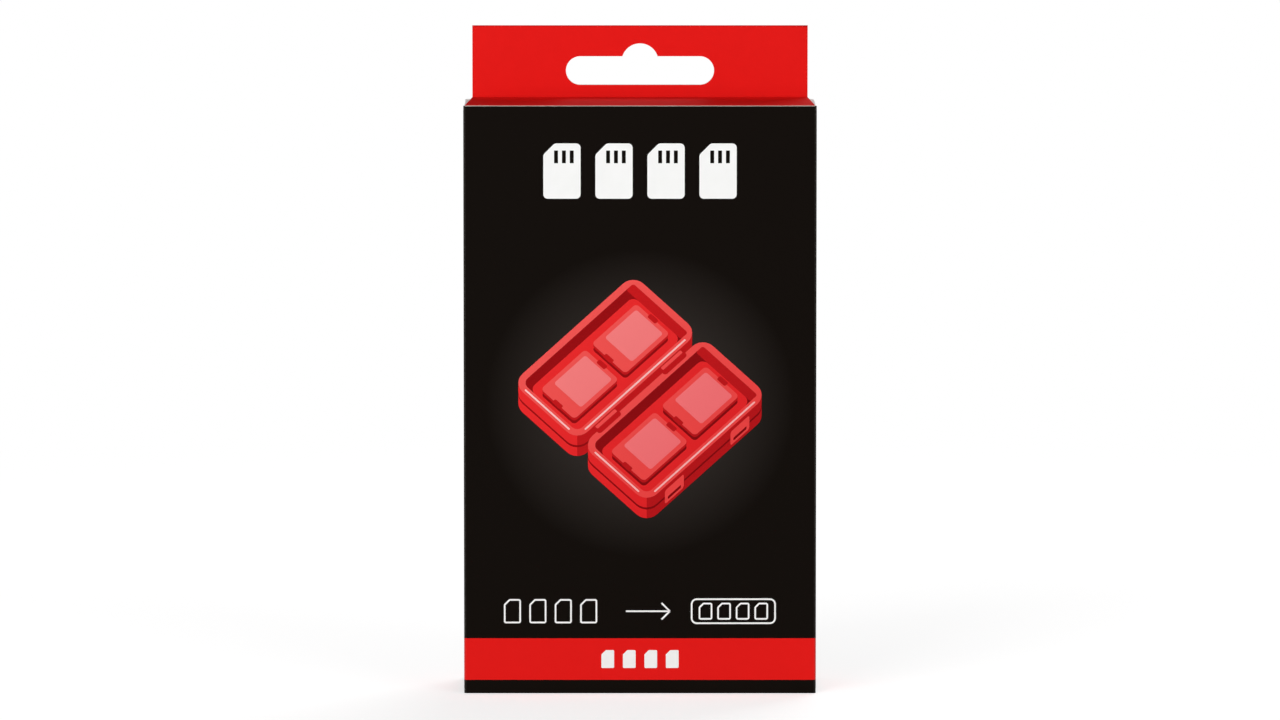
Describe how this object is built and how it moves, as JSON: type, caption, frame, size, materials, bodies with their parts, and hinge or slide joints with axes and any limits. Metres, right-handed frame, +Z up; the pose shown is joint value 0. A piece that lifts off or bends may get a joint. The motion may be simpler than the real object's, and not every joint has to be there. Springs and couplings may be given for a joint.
{
  "type": "hanging retail carton",
  "caption": "Slim upright folding carton, closed by tucked end flaps, with a double header above the back wall and a hang slot for a display peg.",
  "frame": {"origin": "middle of the base, on the floor", "axes": "+Z up, the printed front faces -Y, the back wall with the header faces +Y"},
  "size_m": [0.072, 0.024, 0.1354],
  "materials": {
    "printed_board": "white folding boxboard, printed black with red lid, header and band, matt varnish, cut edges bare"
  },
  "bodies": {
    "root": {"hanging_carton": "printed_board"}
  },
  "joints": []
}
